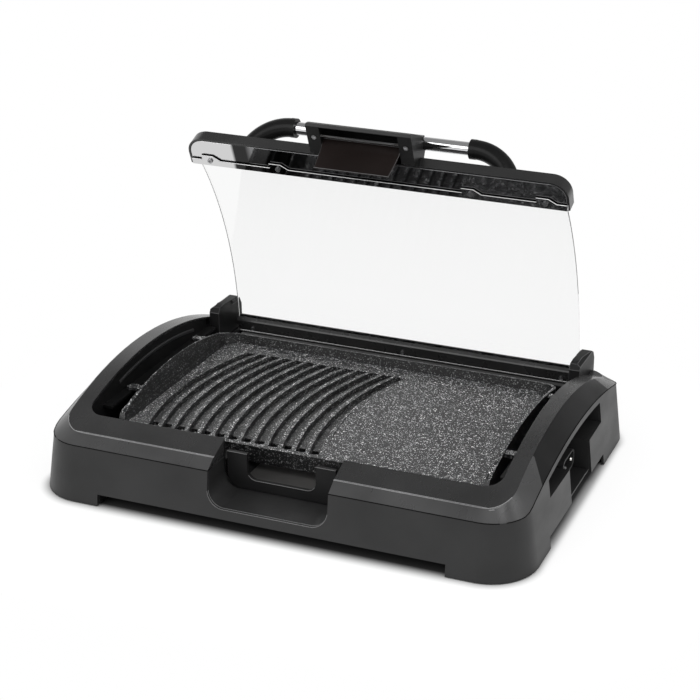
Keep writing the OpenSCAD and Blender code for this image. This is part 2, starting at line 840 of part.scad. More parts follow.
module glass_gasket() {
  color([0.15, 0.15, 0.15])
  lid_place() difference() {
    intersection() {
      glass_cyl(glass_radius - glass_thick / 2 - 0.1, -glass_half + 2, glass_half - 2);
      lid_box(-300, 300, trim_rear + 2.6, 283, 2.2, 20);
    }
    for (x = lid_screws) translate([x, -trim_rear - 8, -5]) cylinder(d = 3.6, h = 22, $fn = 24);
  }
}

module rear_rail() {
  color([0.07, 0.07, 0.07])
  lid_place() difference() {
    union() {
      lid_profile([
        [-10, -4.5], [-8, -6.5], [8.5, -6.5], [10, -5], [10, 6], [8, 8.4], [-7, 8.4], [-10, 5]
      ], -236, 236);
    }
    // glass slot
    difference() {
      glass_cyl(glass_radius + glass_thick / 2 + 0.2, -glass_half - 3, glass_half + 3);
      glass_cyl(glass_radius - glass_thick / 2 - 0.2, -glass_half - 4, glass_half + 4);
      lid_box(-300, 300, -60, 3.6, -60, 60);
      lid_box(-300, 300, 30, 400, -200, 60);
    }
    for (x = rail_screws) translate([x, 3, -12]) cylinder(d = 3, h = 14, $fn = 24);
    for (s = [-1, 1]) bar_x(5.1, s > 0 ? 224 : -240, s > 0 ? 240 : -224, 0, 0, 32);
  }
}

module hinge_pins() {
  color([0.7, 0.7, 0.72])
  lid_place() for (s = [-1, 1]) {
    bar_x(5, s > 0 ? 226 : -236.6, s > 0 ? 236.6 : -226, 0, 0, 32);
    bar_x(hinge_pin, s > 0 ? 236.4 : -250, s > 0 ? 250 : -236.4, 0, 0, 48);
  }
}

module rail_screw_set() {
  color([0.5, 0.5, 0.52])
  lid_place() for (x = rail_screws) translate([x, 3, -6.6]) screw(6, 1.8, 2.8, 7);
}

module lid_screw_set() {
  color([0.5, 0.5, 0.52])
  lid_place() for (x = lid_screws) translate([x, -trim_rear - 8, -2.1]) screw(6.4, 1.8, 3, 5.8);
}

// Horn: quarter bend from the trim to the end of the handle tube.
module horn() {
  t = 30;
  lean = 53.5;
  ou = tube_u - lean * sin(t);
  on = tube_n - lean * cos(t);
  difference() {
    translate([tube_half + 6, -ou, on]) rotate([t, 0, 0]) union() {
      rotate([90, 0, 0]) rotate_extrude(angle = 90, $fn = 96)
        translate([lean, 0]) circle(r = horn_radius, $fn = 48);
      translate([-6, 0, lean]) rotate([0, 90, 0]) cylinder(r = horn_radius + 0.3, h = 7, $fn = 48);
    }
    translate([0, -400, -60]) cube([300, 400, 60 + trim_thick + 0.1]);
    bar_x(tube_diameter + 0.3, 60, tube_half + 13, -tube_u, tube_n, 64);
  }
}

module horn_left() {
  color([0.08, 0.08, 0.08]) lid_place() mirror([1, 0, 0]) horn();
}

module horn_right() {
  color([0.08, 0.08, 0.08]) lid_place() horn();
}

module handle_tube() {
  color([0.8, 0.8, 0.82])
  lid_place() difference() {
    bar_x(tube_diameter, -tube_half - 12, tube_half + 12, -tube_u, tube_n, 64);
    bar_x(tube_diameter - 3, -tube_half - 13, tube_half + 13, -tube_u, tube_n, 64);
  }
}

// Central grip: hollow box on the trim, open to the front.
module grip_box() {
  color([0.08, 0.08, 0.08])
  lid_place() difference() {
    lid_profile([
      [306.4, -2], [321, -17], [360, -17], [362.6, -14.6], [361, -10],
      [316, 44], [311, 52], [303, 54], [295.5, 50], [290, 18.2], [306.4, 18.2]
    ], -box_half, box_half);
    // hollow mouth
    lid_profile([
      [309, -24], [359.6, -24], [358.8, -11], [324.5, 30], [318, 30], [311, 26], [309, 4]
    ], -mouth_half, mouth_half);
    // sides narrow towards the tube
    for (s = [-1, 1]) translate([s * box_half, -330, -17]) rotate([0, s * -12, 0])
      translate([s * 30, 0, 40]) cube([60, 160, 140], center = true);
    bar_x(tube_diameter + 0.3, -100, 100, -tube_u, tube_n, 64);
    for (s = [-1, 1]) translate([s * 57.5, -344, -20]) cylinder(d = 3, h = 16, $fn = 24);
    for (s = [-1, 1]) translate([s * 57.5, -344, -20]) cylinder(d = 6.4, h = 4.2, $fn = 32);
  }
}

// Drip tongue in the mouth of the grip, with a gutter behind its sagging rim.
module drip_tongue() {
  color([0.08, 0.06, 0.06])
  lid_place() difference() {
    lid_profile([
      [347, -17], [348.4, -15.6], [341, -6.4], [337.4, -7.6], [331, -20], [327.6, -36], [326.2, -51],
      [328, -51], [330, -36.4], [333.4, -20.6], [339, -9.6]
    ], -mouth_half + 0.2, mouth_half - 0.2);
    translate([0, -647.4, -40]) cylinder(r = 302.4, h = 60, $fn = 240);
    for (s = [-1, 1]) translate([s * (mouth_half - 0.2), -400, -17]) rotate([0, s * 3.9, 0])
      translate([s > 0 ? 0 : -40, 0, -60]) cube([40, 100, 60]);
  }
}

module box_screws() {
  color([0.5, 0.5, 0.52])
  lid_place() for (s = [-1, 1]) translate([s * 57.5, -344, -15.9]) screw(5.8, 1.1, 2.8, 10);
}

lower_shell();
tray_recess();
bottom_cover();
corner_feet();
grip_pocket();
inlet_pocket();
rubber_feet();
base_screws();
deck_frame();
deck_liner();
hinge_post_left();
hinge_post_right();
heat_reflector();
drip_channel();
heating_element();
element_clips();
inlet_shroud();
terminal_pins();
probe_guide();
grill_plate();
drip_tray();
lid_glass();
front_trim();
inner_panel();
clamp_strip();
glass_gasket();
rear_rail();
hinge_pins();
rail_screw_set();
lid_screw_set();
horn_left();
horn_right();
handle_tube();
grip_box();
drip_tongue();
box_screws();
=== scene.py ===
import math
import bmesh
import bpy
from mathutils import Matrix, Vector


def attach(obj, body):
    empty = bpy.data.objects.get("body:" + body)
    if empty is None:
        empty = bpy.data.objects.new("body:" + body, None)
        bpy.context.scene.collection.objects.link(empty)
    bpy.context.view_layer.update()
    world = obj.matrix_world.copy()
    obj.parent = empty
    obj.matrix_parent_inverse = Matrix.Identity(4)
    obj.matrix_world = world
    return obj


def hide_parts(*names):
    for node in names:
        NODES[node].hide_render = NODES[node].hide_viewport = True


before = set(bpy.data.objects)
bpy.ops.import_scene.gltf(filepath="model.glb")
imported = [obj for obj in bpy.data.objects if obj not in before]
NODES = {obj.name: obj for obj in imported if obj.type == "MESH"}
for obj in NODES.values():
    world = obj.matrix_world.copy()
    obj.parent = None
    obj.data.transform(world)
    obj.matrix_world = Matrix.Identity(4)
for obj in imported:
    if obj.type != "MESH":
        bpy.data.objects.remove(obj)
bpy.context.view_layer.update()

MM = 0.001

# the camera that was solved from the photograph: angles in degrees, place in metres
CAMERA_AZIMUTH = 19.83
CAMERA_ELEVATION = 23.66
CAMERA_ROLL = 0.94
CAMERA_PLACE = (0.74777, -1.69263, 0.94014)
CAMERA_LENS = 87.6
CAMERA_SHIFT = (-0.1432, 0.0175)

# the lid's hinge axis in mm, and the rise of its chord as it stands open
HINGE_Y = 202.0
HINGE_Z = 68.0
LID_RISE = math.radians(68.3)
# directions in the open lid: towards its front edge, and out of its inner side
LID_UP = Vector((0.0, -0.370, 0.929))
LID_INNER = Vector((0.0, -0.929, -0.370))

# clean-up of the solids' triangles before their edges are rounded
WELD = 0.00001
FLAT_ANGLE = math.radians(0.6)
BEVEL_ANGLE = math.radians(28.0)

# thin lines along edges: sides of their section, and how far they run past a corner
LINE_SIDES = 8
LINE_REACH = 0.0001


# ------------------------------------------------------------------ camera

def camera_axes(azimuth, elevation, roll):
    """Camera right, up and back vectors for angles in degrees."""
    a, e, r = (math.radians(v) for v in (azimuth, elevation, roll))
    back = Vector((math.sin(a) * math.cos(e), -math.cos(a) * math.cos(e), math.sin(e)))
    right = Vector((math.cos(a), math.sin(a), 0.0))
    up = back.cross(right)
    return (right * math.cos(r) + up * math.sin(r),
            up * math.cos(r) - right * math.sin(r), back)


def make_camera():
    data = bpy.data.cameras.new("camera")
    data.sensor_width = 36.0
    data.lens = CAMERA_LENS
    data.shift_x, data.shift_y = CAMERA_SHIFT
    data.clip_end = 50.0
    data.dof.use_dof = False
    cam = bpy.data.objects.new("camera", data)
    bpy.context.scene.collection.objects.link(cam)
    axes = camera_axes(CAMERA_AZIMUTH, CAMERA_ELEVATION, CAMERA_ROLL)
    place = Matrix(axes).transposed().to_4x4()
    place.translation = Vector(CAMERA_PLACE)
    cam.matrix_world = place
    bpy.context.scene.camera = cam


# ------------------------------------------------------------------ node trees

class Nodes:
    """Short forms for the nodes that the materials and the world share."""

    def __init__(self, tree):
        self.tree = tree

    def link(self, a, b):
        self.tree.links.new(a, b)

    def remap(self, source, low, high, to_low, to_high):
        n = self.tree.nodes.new("ShaderNodeMapRange")
        for key, value in (("From Min", low), ("From Max", high),
                           ("To Min", to_low), ("To Max", to_high)):
            n.inputs[key].default_value = value
        self.link(source, n.inputs["Value"])
        return n.outputs["Result"]

    def math(self, operation, a, b):
        n = self.tree.nodes.new("ShaderNodeMath")
        n.operation = operation
        for k, v in enumerate((a, b)):
            if isinstance(v, float):
                n.inputs[k].default_value = v
            else:
                self.link(v, n.inputs[k])
        return n.outputs["Value"]

    def vector(self, operation, *values, result="Vector"):
        n = self.tree.nodes.new("ShaderNodeVectorMath")
        n.operation = operation
        for k, v in enumerate(values):
            if isinstance(v, tuple):
                n.inputs[k].default_value = v
            else:
                self.link(v, n.inputs[k])
        return n.outputs[result]

    def parts(self, vector):
        """Outputs X, Y and Z of a vector."""
        n = self.tree.nodes.new("ShaderNodeSeparateXYZ")
        self.link(vector, n.inputs["Vector"])
        return n.outputs


class Shader(Nodes):
    """A material round one Principled shader."""

    def __init__(self, name, color, roughness, metallic=0.0, specular=0.5):
        self.mat = bpy.data.materials.new(name)
        self.mat.use_nodes = True
        super().__init__(self.mat.node_tree)
        self.bsdf = self.tree.nodes["Principled BSDF"]
        self.set("Base Color", (*color, 1.0))
        self.set("Roughness", roughness)
        self.set("Metallic", metallic)
        self.set("Specular IOR Level", specular)
        self.coord = self.tree.nodes.new("ShaderNodeTexCoord")

    def set(self, socket, value):
        self.bsdf.inputs[socket].default_value = value

    def noise(self, scale, detail=4.0, stretch=None):
        n = self.tree.nodes.new("ShaderNodeTexNoise")
        n.inputs["Scale"].default_value = scale
        n.inputs["Detail"].default_value = detail
        source = self.coord.outputs["Object"]
        if stretch:
            m = self.tree.nodes.new("ShaderNodeMapping")
            m.inputs["Scale"].default_value = stretch
            self.link(source, m.inputs["Vector"])
            source = m.outputs["Vector"]
        self.link(source, n.inputs["Vector"])
        return n.outputs["Fac"]

    def mix(self, factor, a, b):
        """Colour mix; a and b are colours or sockets."""
        n = self.tree.nodes.new("ShaderNodeMix")
        n.data_type = "RGBA"
        self.link(factor, n.inputs[0])
        for socket, v in ((n.inputs[6], a), (n.inputs[7], b)):
            if isinstance(v, tuple):
                socket.default_value = (*v, 1.0)
            else:
                self.link(v, socket)
        return n.outputs[2]

    def bump(self, height, strength, distance, under=None):
        n = self.tree.nodes.new("ShaderNodeBump")
        n.inputs["Strength"].default_value = strength
        n.inputs["Distance"].default_value = distance
        self.link(height, n.inputs["Height"])
        if under is not None:
            self.link(under, n.inputs["Normal"])
        return n.outputs["Normal"]

    def normal(self, socket):
        self.link(socket, self.bsdf.inputs["Normal"])

    def color(self, socket):
        self.link(socket, self.bsdf.inputs["Base Color"])

    def roughness(self, socket):
        self.link(socket, self.bsdf.inputs["Roughness"])


# ------------------------------------------------------------------ materials

def moulded(name, color, roughness, grain=0.12, gloss_spread=0.05, specular=0.5):
    """Moulded plastic: spark-eroded grain, faint cloudiness and handling marks."""
    s = Shader(name, color, roughness, specular=specular)
    cloud = s.noise(14.0, 3.0)
    light = tuple(c * 1.25 + 0.002 for c in color)
    dark = tuple(c * 0.82 for c in color)
    s.color(s.mix(s.remap(cloud, 0.3, 0.7, 0.0, 1.0), dark, light))
    smear = s.noise(38.0, 6.0, (1.0, 0.35, 1.0))
    s.roughness(s.remap(smear, 0.3, 0.7, roughness - gloss_spread, roughness + gloss_spread))
    fine = s.noise(2600.0, 2.0)
    soft = s.noise(900.0, 3.0)
    s.normal(s.bump(fine, grain, 0.00006, s.bump(soft, grain * 0.8, 0.00012)))
    return s.mat


def brushed(name, color, roughness, stretch=(1.0, 60.0, 60.0)):
    """Drawn or rolled metal with fine lines along one direction."""
    s = Shader(name, color, roughness, metallic=1.0)
    lines = s.noise(120.0, 5.0, stretch)
    s.roughness(s.remap(lines, 0.3, 0.7, roughness * 0.75, roughness * 1.3))
    s.color(s.mix(s.noise(30.0, 3.0), tuple(c * 0.9 for c in color), color))
    s.normal(s.bump(lines, 0.08, 0.00005))
    return s.mat


# flecks of the plate: cells per metre, largest reach and share of the cells
FLECKS = ((380.0, 0.40, 0.38), (560.0, 0.44, 0.44), (860.0, 0.47, 0.48))
# heights of the grooves' floor and top, between which the grooves get painted shade
GROOVE_LOW, GROOVE_HIGH = 0.0612, 0.0656


def fleck_mask(s, scale, reach, share):
    """Ragged spots in a share of the cells of one size."""
    jitter = s.tree.nodes.new("ShaderNodeTexNoise")
    jitter.inputs["Scale"].default_value = scale * 1.7
    jitter.inputs["Detail"].default_value = 2.0
    s.link(s.coord.outputs["Object"], jitter.inputs["Vector"])
    cells = s.tree.nodes.new("ShaderNodeTexVoronoi")
    cells.inputs["Scale"].default_value = scale
    s.link(s.vector("MULTIPLY_ADD", jitter.outputs["Color"], (0.8 / scale,) * 3,
                    s.coord.outputs["Object"]), cells.inputs["Vector"])
    pick = s.tree.nodes.new("ShaderNodeSeparateColor")
    s.link(cells.outputs["Color"], pick.inputs["Color"])
    size = s.remap(pick.outputs["Red"], 1.0 - share, 1.0, 0.0, reach)
    inside = s.math("SUBTRACT", size, cells.outputs["Distance"])
    return s.remap(inside, 0.0, 0.04, 0.0, 1.0)


def speckled(name):
    """Non-stick coating: dark ground with light stone flecks of three sizes.

    Ground and flecks get painted shade in the grooves and on the walls.
    """
    s = Shader(name, (0.03, 0.031, 0.032), 0.36, specular=0.40)
    ground = s.mix(s.remap(s.noise(60.0, 4.0), 0.35, 0.65, 0.0, 1.0),
                   (0.011, 0.0115, 0.012), (0.022, 0.023, 0.024))
    large, middle, small = (fleck_mask(s, *row) for row in FLECKS)
    flecks = s.math("MAXIMUM", s.math("MAXIMUM", large, middle), small)
    tone = s.mix(s.remap(s.noise(700.0, 2.0), 0.35, 0.65, 0.0, 1.0),
                 (0.56, 0.565, 0.57), (1.0, 1.0, 1.0))
    height = s.parts(s.coord.outputs["Object"])["Z"]
    # painted shade: darker in the grooves and on the steep walls
    groove_shade = s.remap(height, GROOVE_LOW, GROOVE_HIGH, 0.80, 0.0)
    upward = s.parts(s.coord.outputs["Normal"])["Z"]
    wall_shade = s.remap(upward, 0.70, 0.95, 0.94, 0.0)
    painted_shade = s.math("MAXIMUM", groove_shade, wall_shade)
    ground = s.mix(painted_shade, ground, (0.004, 0.004, 0.0043))
    tone = s.mix(s.math("MULTIPLY", painted_shade, 0.86), tone, (0.005, 0.005, 0.0053))
    s.color(s.mix(flecks, ground, tone))
    s.roughness(s.remap(flecks, 0.0, 1.0, 0.33, 0.46))
    orange_peel = s.noise(700.0, 3.0)
    s.normal(s.bump(flecks, 0.15, 0.00005, s.bump(orange_peel, 0.22, 0.00012)))
    return s.mat


def rubber(name):
    s = Shader(name, (0.018, 0.018, 0.018), 0.75, specular=0.3)
    s.color(s.mix(s.noise(200.0, 4.0), (0.012, 0.012, 0.012), (0.026, 0.026, 0.026)))
    s.normal(s.bump(s.noise(1500.0, 3.0), 0.2, 0.0001))
    return s.mat


def clear_glass(name):
    """Clear glass; the low index keeps its tone even against the white backdrop."""
    s = Shader(name, (0.945, 0.947, 0.946), 0.0, specular=0.12)
    s.set("Transmission Weight", 1.0)
    s.set("IOR", 1.25)
    s.roughness(s.remap(s.noise(9.0, 4.0), 0.4, 0.8, 0.0, 0.02))
    return s.mat


def polished(name):
    s = Shader(name, (0.66, 0.66, 0.67), 0.09, metallic=1.0)
    lines = s.noise(90.0, 5.0, (1.0, 14.0, 14.0))
    s.roughness(s.remap(lines, 0.3, 0.7, 0.06, 0.13))
    s.color(s.mix(s.noise(40.0, 3.0), (0.60, 0.60, 0.61), (0.72, 0.72, 0.73)))
    return s.mat


def mirror_panel(name):
    """Dark polished strip with a faint drawn grain along the trim, and painted reflections along
    it.
    """
    s = Shader(name, (0.46, 0.46, 0.47), 0.03, metallic=1.0)
    lines = s.noise(70.0, 4.0, (0.6, 18.0, 18.0))
    s.roughness(s.remap(lines, 0.3, 0.7, 0.03, 0.06))
    # painted reflection: the strip is lighter at its left end, with a painted dark reflection
    # beside that
    along = s.parts(s.coord.outputs["Object"])["X"]
    drawn = s.mix(s.noise(25.0, 3.0), (0.18, 0.18, 0.183), (0.23, 0.23, 0.234))
    with_dark_reflection = s.mix(s.remap(along, -0.164, -0.156, 0.0, 1.0), (0.03, 0.03, 0.03), drawn)
    s.color(s.mix(s.remap(along, -0.184, -0.180, 0.0, 1.0), (0.62, 0.62, 0.62), with_dark_reflection))
    s.normal(s.bump(s.noise(160.0, 3.0), 0.05, 0.0002))
    return s.mat


def make_materials():
    turned = (20.0, 20.0, 1.0)
    return {
        "shell": moulded("shell_plastic", (0.013, 0.013, 0.0132), 0.44, specular=0.36),
        # painted highlight for rounded edges
        "shell_edge_highlight": moulded("shell_edge_highlight", (0.034, 0.034, 0.0345), 0.30),
        "deck": moulded("deck_plastic", (0.017, 0.017, 0.0172), 0.26, specular=0.62),
        # painted light for the deck's front chamfer
        "deck_band_lit": moulded("deck_band_lit", (0.040, 0.040, 0.0405), 0.30),
        # painted shade for the rails' outer sides
        "deck_side_shade": moulded("deck_side_shade", (0.010, 0.010, 0.0102), 0.36, specular=0.10),
        # painted highlight along the deck's crease
        "deck_crease_highlight": moulded("deck_crease_highlight", (0.20, 0.20, 0.202), 0.24, specular=0.6),
        "seam": moulded("seam_shadow", (0.002, 0.002, 0.002), 0.60, specular=0.04),
        "liner": moulded("liner_plastic", (0.005, 0.005, 0.0052), 0.50, specular=0.16),
        "bead": moulded("bead_plastic", (0.018, 0.018, 0.0185), 0.36, specular=0.34),
        "post": moulded("post_plastic", (0.010, 0.010, 0.0102), 0.42, specular=0.08),
        "tray": moulded("tray_plastic", (0.006, 0.006, 0.0062), 0.40, specular=0.14),
        # painted light for the tray's upward floor
        "pan_lit": moulded("pan_lit_plastic", (0.038, 0.037, 0.036), 0.42, specular=0.4),
        # painted highlight along edges of the tray, the notch and the tongue
        "tray_edge_highlight": moulded("tray_edge_highlight", (0.10, 0.10, 0.101), 0.30),
        "rail": moulded("rail_plastic", (0.027, 0.027, 0.0272), 0.28, 0.06, 0.03, 0.42),
        "gloss": moulded("gloss_plastic", (0.012, 0.012, 0.012), 0.24, 0.04, 0.03),
        "horn": moulded("horn_plastic", (0.007, 0.007, 0.007), 0.30, 0.04, 0.03, 0.12),
        "box": moulded("box_plastic", (0.010, 0.010, 0.010), 0.34, 0.04, 0.03, 0.20),
        # painted shade for the grip's sides
        "box_side_shade": moulded("box_side_shade", (0.008, 0.008, 0.008), 0.40, 0.04, 0.03, 0.03),
        "tongue": moulded("tongue_plastic", (0.009, 0.0062, 0.0056), 0.34, 0.05, 0.03, 0.10),
        # painted shade inside the grip and on the clamp strip's face towards the lid's front edge
        "hollow": moulded("hollow_plastic", (0.003, 0.003, 0.003), 0.55, 0.05, 0.03, 0.06),
        # painted highlight along the clamp strip's edge
        "edge": moulded("clamp_edge_highlight", (0.75, 0.75, 0.75), 0.22, 0.04, 0.03, 0.8),
        "mirror": mirror_panel("panel_mirror"),
        "coating": speckled("plate_coating"),
        "rubber": rubber("foot_rubber"),
        "seal": rubber("seal_rubber"),
        "glass": clear_glass("lid_glass"),
        "chrome": polished("tube_chrome"),
        "screw": brushed("screw_steel", (0.56, 0.56, 0.57), 0.3, turned),
        "screw_dark": brushed("screw_black", (0.36, 0.36, 0.365), 0.3, turned),
        "sheet": brushed("reflector_sheet", (0.74, 0.74, 0.75), 0.28),
        "sheath": brushed("element_sheath", (0.14, 0.14, 0.15), 0.5),
        "pin": brushed("pin_nickel", (0.78, 0.77, 0.74), 0.2),
        "pin_dark": brushed("pin_shaded", (0.10, 0.10, 0.10), 0.35),
    }


# ------------------------------------------------------------------ pieces

def new_piece(name, bm, body, material, smooth_angle=35.0):
    """Turns a bmesh in metres into a piece that rides on a CAD body."""
    limit = math.radians(smooth_angle)
    for f in bm.faces:
        f.smooth = True
    for e in bm.edges:
        e.smooth = len(e.link_faces) == 2 and e.calc_face_angle(0.0) < limit
    mesh = bpy.data.meshes.new(name)
    bm.to_mesh(mesh)
    bm.free()
    obj = bpy.data.objects.new(name, mesh)
    bpy.context.scene.collection.objects.link(obj)
    obj.data.materials.append(material)
    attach(obj, body)
    return obj


def clean_copy(node):
    """Copy of a CAD node's mesh with one face for each flat face of the solid."""
    bm = bmesh.new()
    bm.from_mesh(NODES[node].data)
    bmesh.ops.remove_doubles(bm, verts=bm.verts, dist=WELD)
    bmesh.ops.dissolve_limit(bm, angle_limit=FLAT_ANGLE, verts=bm.verts, edges=bm.edges,
                             use_dissolve_boundaries=False)
    return bm


def soften(node, body, material, radius, segments=2, edge=None):
    """Copy of a CAD node with its hard edges rounded; it stands for the node."""
    obj = new_piece(node + "_skin", clean_copy(node), body, material)
    # an edge material, where given, paints a highlight on the rounded faces
    if edge:
        obj.data.materials.append(edge)
    if radius:
        mod = obj.modifiers.new("round", "BEVEL")
        mod.material = 1 if edge else -1
        mod.width = radius
        mod.segments = segments
        mod.limit_method = "ANGLE"
        mod.angle_limit = BEVEL_ANGLE
        mod.use_clamp_overlap = True
        mod.harden_normals = True
        mod.miter_outer = "MITER_ARC"
        even = obj.modifiers.new("even", "WEIGHTED_NORMAL")
        even.keep_sharp = True
        depsgraph = bpy.context.evaluated_depsgraph_get()
        mesh = bpy.data.meshes.new_from_object(obj.evaluated_get(depsgraph))
        obj.modifiers.clear()
        obj.data = mesh
    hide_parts(node)
    return obj


def dress(body, rows):
    """Softened copies of several nodes; each row has node, slot, material and radius in mm."""
    for node, slot, key, radius in rows:
        soften(node, body, mats[key], radius * MM)


def recolour(obj, material, test):
    """Further material on the faces whose corners in mm all pass the test."""
    obj.data.materials.append(material)
    index = len(obj.data.materials) - 1
    for poly in obj.data.polygons:
        if all(test(obj.data.vertices[v].co / MM) for v in poly.vertices):
            poly.material_index = index
    return obj


def facing(obj, material, test):
    """Further material on the faces whose centre in mm and normal pass the test."""
    obj.data.materials.append(material)
    index = len(obj.data.materials) - 1
    for poly in obj.data.polygons:
        if test(poly.center / MM, poly.normal):
            poly.material_index = index
    return obj


def paint(node, material):
    obj = NODES[node]
    obj.data.materials.clear()
    obj.data.materials.append(material)


def ridge(node, name, body, material, radius, test):
    """Thin rounded line along those edges of a CAD node that pass the test.

    The test gets the edge's middle in mm, the normals of its lower-looking and
    higher-looking face, and its direction.
    """
    source = clean_copy(node)
    bm = bmesh.new()
    for edge in source.edges:
        if len(edge.link_faces) != 2:
            continue
        low, high = sorted((f.normal for f in edge.link_faces), key=lambda n: n.z)
        a, b = (v.co for v in edge.verts)
        way = (b - a).normalized()
        if not test((a + b) / (2.0 * MM), low, high, way):
            continue
        out = (low + high).normalized()
        side = way.cross(out)
        rings = []
        for end in (a - way * LINE_REACH, b + way * LINE_REACH):
            ring = []
            for k in range(LINE_SIDES):
                t = math.radians(360.0 * k / LINE_SIDES)
                ring.append(bm.verts.new(end + (out * math.cos(t) + side * math.sin(t)) * radius))
            rings.append(ring)
        for k in range(LINE_SIDES):
            bm.faces.new((rings[0][k], rings[0][k - 1], rings[1][k - 1], rings[1][k]))
        bm.faces.new(rings[0])
        bm.faces.new(list(reversed(rings[1])))
    source.free()
    bmesh.ops.recalc_face_normals(bm, faces=bm.faces)
    return new_piece(name, bm, body, material, 50.0)


def deck_crease(at, low, high, way):
    """Crease between the deck's flat front and its chamfer."""
    blunt = math.degrees(low.angle(high)) > 7.0 and high.z - low.z > 0.04
    outward = Vector((low.x, low.y, 0.0)).normalized()
    along = abs(way.dot(outward)) < 0.35
    return blunt and along and low.z > 0.3 and high.z > 0.86 and -193.0 < at.y < -150.0


def split_edge(at, low, high, way):
    """Outer lower edge of the deck, where it meets the shell."""
    return low.z < -0.5 and (abs(at.x) > 275.0 or at.y < -198.0 or at.y > 198.0)


def clamp_edge(at, low, high, way):
    """Edge of the clamp strip that looks towards the lid's front edge."""
    return ((low.dot(LID_UP) > 0.6 and high.dot(LID_INNER) > 0.8)
            or (high.dot(LID_UP) > 0.6 and low.dot(LID_INNER) > 0.8))


def tray_edge_highlight(at, low, high, way):
    """Top edges of the tray's front panel, which carry a painted highlight."""
    return low.y < -0.8 and high.z > 0.5


def notch_edge(at, low, high, way):
    """Rim of the front notch."""
    return (at.y < -196.0 and abs(at.x) < 96.0 and low.y < -0.8
            and (high.z > 0.25 or abs(high.x) > 0.4))


def tongue_edge(at, low, high, way):
    """Front edge of the drip tongue."""
    return at.y < 33.8 and abs(way.x) > 0.9


def deck_chamfer(at, normal):
    return 0.5 < normal.z < 0.88 and at.y < -112.0 and (abs(at.x) > 262.0 or at.y < -186.0)


def rail_side(at, normal):
    return abs(normal.x) > 0.38 and -112.0 < at.y < 140.0 and abs(at.x) > 262.0


def lid_frame(at):
    """Distance along the lid chord from the hinge, and height over it, all in mm."""
    y = HINGE_Y - at.y
    z = at.z - HINGE_Z
    c, s = math.cos(LID_RISE), math.sin(LID_RISE)
    return y * c + z * s, z * c - y * s


def in_mouth(at):
    """Inside of the central grip."""
    along, over = lid_frame(at)
    return abs(at.x) < 49.2 and 308.0 < along < 361.0 and over > -17.6


def tongue_lip(at, normal):
    return normal.dot(LID_UP) > 0.8 and lid_frame(at)[0] > 340.0


def deck_height(y):
    return max(78.0, 117.5 - 39.5 * (y / 187.0) ** 2)


def make_bead(name, side):
    """Raised line that follows the arch on the inner wall of a rail."""
    rear, length, steps = -84.0, 186.0, 36
    bm = bmesh.new()
    rings = []
    for i in range(steps + 1):
        y = rear + length * i / steps
        top = deck_height(y) - 12.5
        profile = ((253.1, top), (251.9, top - 0.2), (251.3, top - 1.0), (251.3, top - 3.2),
                   (251.9, top - 4.0), (253.1, top - 4.2))
        rings.append([bm.verts.new((side * x * MM, y * MM, z * MM)) for x, z in profile])
    for a, b in zip(rings, rings[1:]):
        count = len(a)
        for k in range(count):
            bm.faces.new((a[k], a[(k + 1) % count], b[(k + 1) % count], b[k]))
    bm.faces.new(rings[0])
    bm.faces.new(list(reversed(rings[-1])))
    bmesh.ops.recalc_face_normals(bm, faces=bm.faces)
    new_piece(name, bm, "base", mats["bead"])


# ------------------------------------------------------------------ light

def area_light(name, place, target, size_x, size_y, power):
    data = bpy.data.lights.new(name, "AREA")
    data.shape = "RECTANGLE"
    data.size = size_x
    data.size_y = size_y
    data.energy = power
    obj = bpy.data.objects.new(name, data)
    bpy.context.scene.collection.objects.link(obj)
    direction = Vector(target) - Vector(place)
    obj.matrix_world = (Matrix.Translation(Vector(place))
                        @ direction.to_track_quat("-Z", "Y").to_matrix().to_4x4())


def make_lights():
    area_light("top_box", (0.6, -0.9, 2.0), (0.0, 0.0, 0.0), 1.1, 0.8, 11.0)
    area_light("front_box", (-0.9, -2.0, 1.6), (0.0, 0.0, 0.1), 1.6, 1.6, 22.0)
    area_light("right_box", (2.0, -0.4, 1.4), (0.0, 0.0, 0.1), 1.4, 1.4, 14.0)


def make_world():
    world = bpy.data.worlds.new("studio")
    bpy.context.scene.world = world
    world.use_nodes = True
    w = Nodes(world.node_tree)
    w.tree.nodes.clear()
    out = w.tree.nodes.new("ShaderNodeOutputWorld")

    def sky(strength):
        n = w.tree.nodes.new("ShaderNodeBackground")
        n.inputs["Color"].default_value = (1.0, 1.0, 1.0, 1.0)
        w.link(strength, n.inputs["Strength"])
        return n.outputs[0]

    direction = w.parts(w.tree.nodes.new("ShaderNodeTexCoord").outputs["Generated"])
    path = w.tree.nodes.new("ShaderNodeLightPath").outputs
    # softer light from the sides than from above
    plain = sky(w.remap(direction["Z"], 0.0, 1.0, 0.42, 1.0))
    # reflections show the white backdrop, and a darker ceiling and right side of the room
    mirrored = w.math("GREATER_THAN", path["Glossy Depth"], 0.5)
    above = w.remap(direction["Z"], 0.52, 0.66, 0.0, 0.68)
    aside = w.remap(direction["X"], -0.44, -0.28, 0.0, 0.58)
    shade = w.math("MULTIPLY", mirrored, w.math("MAXIMUM", above, aside))
    white = sky(w.math("SUBTRACT", 1.0, shade))
    seen = w.math("MAXIMUM", path["Is Camera Ray"], path["Is Transmission Ray"])
    shown = w.math("MAXIMUM", seen, path["Is Glossy Ray"])
    mix = w.tree.nodes.new("ShaderNodeMixShader")
    w.link(shown, mix.inputs[0])
    w.link(plain, mix.inputs[1])
    w.link(white, mix.inputs[2])
    w.link(mix.outputs[0], out.inputs["Surface"])


# half sizes of the base's footprint without its rounded corners, and their radius
FOOTPRINT = (0.244, 0.158, 10.0)
CORNER = 0.056


